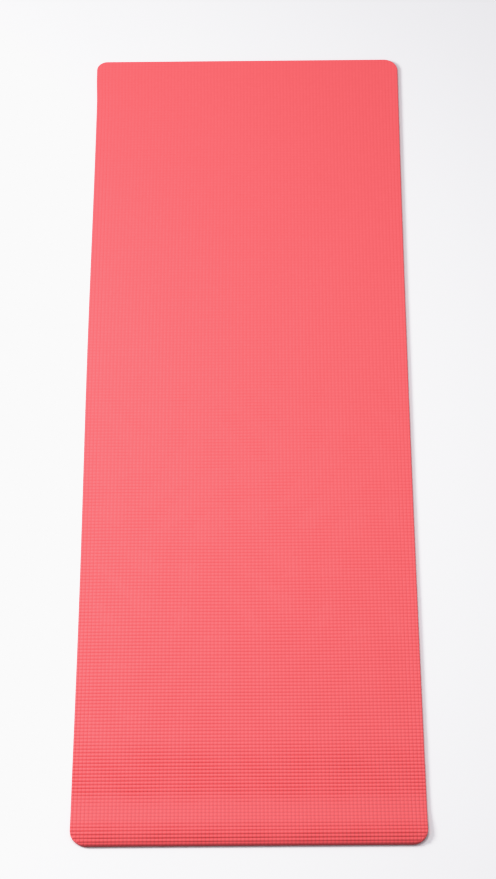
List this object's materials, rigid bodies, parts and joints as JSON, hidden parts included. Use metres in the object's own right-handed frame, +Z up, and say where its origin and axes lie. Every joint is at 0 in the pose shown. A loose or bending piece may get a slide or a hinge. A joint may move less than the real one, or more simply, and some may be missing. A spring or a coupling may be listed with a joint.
{
  "type": "yoga mat",
  "caption": "Foam yoga mat lying flat: rectangular, with rounded corners, two bonded foam layers over a reinforcing net, and one end slightly lifted.",
  "frame": {"origin": "middle of the flat underside, on the floor", "axes": "+Y along the mat's length, towards the end that lies flat; +Z up out of the top face; the lifted end is at -Y"},
  "size_m": [0.61, 1.73, 0.009],
  "materials": {
    "top_foam": "matt closed-cell foam embossed with a fine square waffle",
    "scrim_yarn": "undyed polyester yarn net",
    "bottom_foam": "matt closed-cell foam embossed with a fine square waffle"
  },
  "bodies": {
    "root": {"top_foam_layer": "top_foam", "reinforcing_scrim": "scrim_yarn", "bottom_foam_layer": "bottom_foam"}
  },
  "joints": []
}
